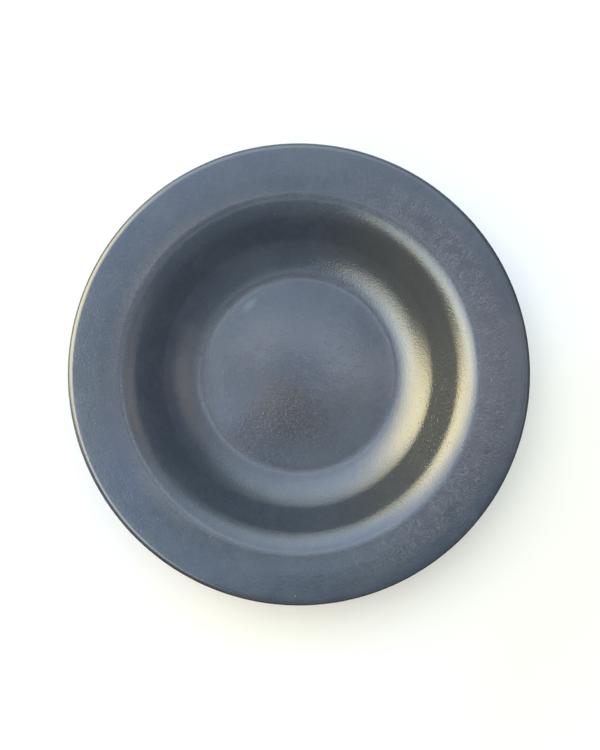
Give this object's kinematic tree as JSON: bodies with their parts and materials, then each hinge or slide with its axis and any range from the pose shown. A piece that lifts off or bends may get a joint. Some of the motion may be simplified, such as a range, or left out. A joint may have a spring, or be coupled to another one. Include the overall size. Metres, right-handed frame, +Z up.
{
  "type": "pasta bowl",
  "caption": "Wide-rimmed round pasta bowl in glazed stoneware: flat-floored well with sloping wall, broad gently rising rim, rounded lip and a bare clay foot ring.",
  "frame": {"origin": "centre of the foot ring on the plane that it stands on", "axes": "+Z up through the middle of the well, towards the open mouth; X and Y lie in the standing plane and are interchangeable"},
  "size_m": [0.25, 0.25, 0.045],
  "materials": {
    "fired_clay": "unglazed, ground smooth where it stands",
    "face_glaze": "satin slate-blue reactive glaze, thinner and browner over the lip",
    "back_glaze": "satin slate-blue reactive glaze, gathered into a soft roll above the foot",
    "foot_well_glaze": "satin slate-blue reactive glaze"
  },
  "bodies": {
    "root": {"stoneware_body": "fired_clay", "face_glaze": "face_glaze", "back_glaze": "back_glaze", "foot_well_glaze": "foot_well_glaze"}
  },
  "joints": []
}
